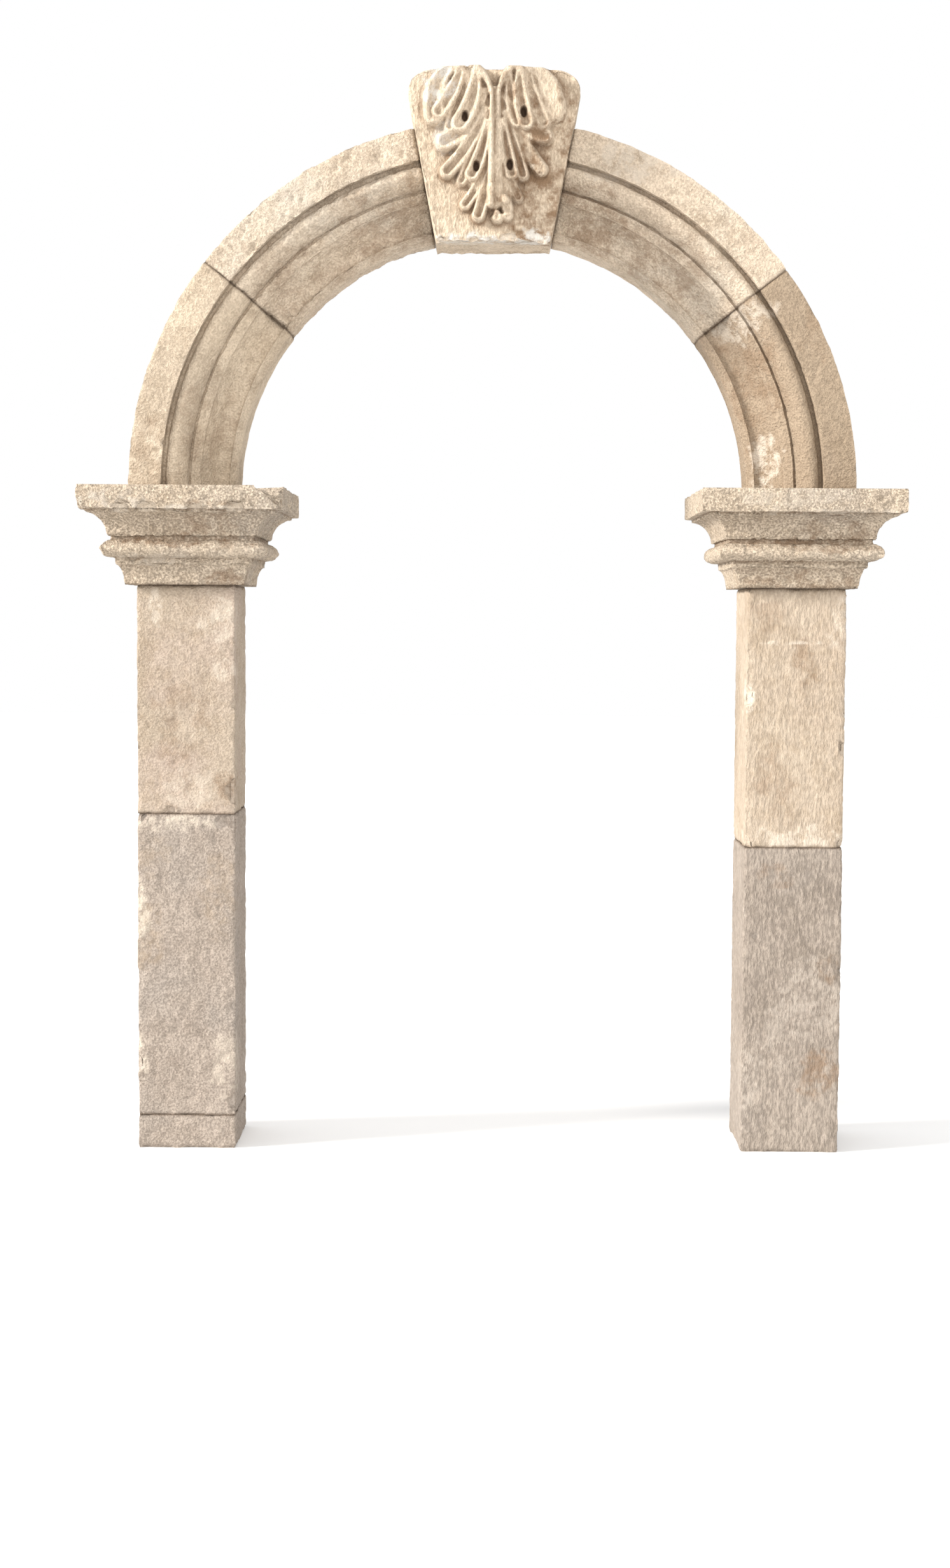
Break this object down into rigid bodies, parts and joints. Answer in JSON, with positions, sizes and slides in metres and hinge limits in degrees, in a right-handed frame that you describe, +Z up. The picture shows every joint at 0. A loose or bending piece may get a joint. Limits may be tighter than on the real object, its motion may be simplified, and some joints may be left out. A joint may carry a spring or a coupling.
{
  "type": "door surround",
  "caption": "Round-arched stone door surround: block piers, moulded capitals, moulded voussoirs and a keystone with a carved acanthus leaf.",
  "frame": {"origin": "on the ground, at the middle of the surround's bounding box", "axes": "+X across the doorway to the viewer's right, -Y the moulded front, +Z up"},
  "size_m": [2.264, 0.584, 2.9823],
  "materials": {
    "pier_left_base_stone": "rough tooled limestone",
    "pier_left_lower_block": "rough greyed limestone",
    "pier_left_upper_block": "worn warm limestone",
    "pier_right_lower_block": "tooled grey-tan limestone",
    "pier_right_upper_block": "vertically tooled limestone",
    "capital_left": "pitted, stained limestone",
    "capital_right": "pitted, stained limestone",
    "voussoir_left_lower": "worn moulded limestone",
    "voussoir_left_upper": "tooled moulded limestone",
    "voussoir_right_upper": "stained moulded limestone",
    "voussoir_right_lower": "stained moulded limestone",
    "keystone": "carved, tooled limestone"
  },
  "bodies": {
    "root": {"pier_left_base_stone": "pier_left_base_stone", "pier_left_lower_block": "pier_left_lower_block", "pier_left_upper_block": "pier_left_upper_block", "pier_right_lower_block": "pier_right_lower_block", "pier_right_upper_block": "pier_right_upper_block", "capital_left": "capital_left", "capital_right": "capital_right", "voussoir_left_lower": "voussoir_left_lower", "voussoir_left_upper": "voussoir_left_upper", "voussoir_right_upper": "voussoir_right_upper", "voussoir_right_lower": "voussoir_right_lower", "keystone": "keystone"}
  },
  "joints": []
}
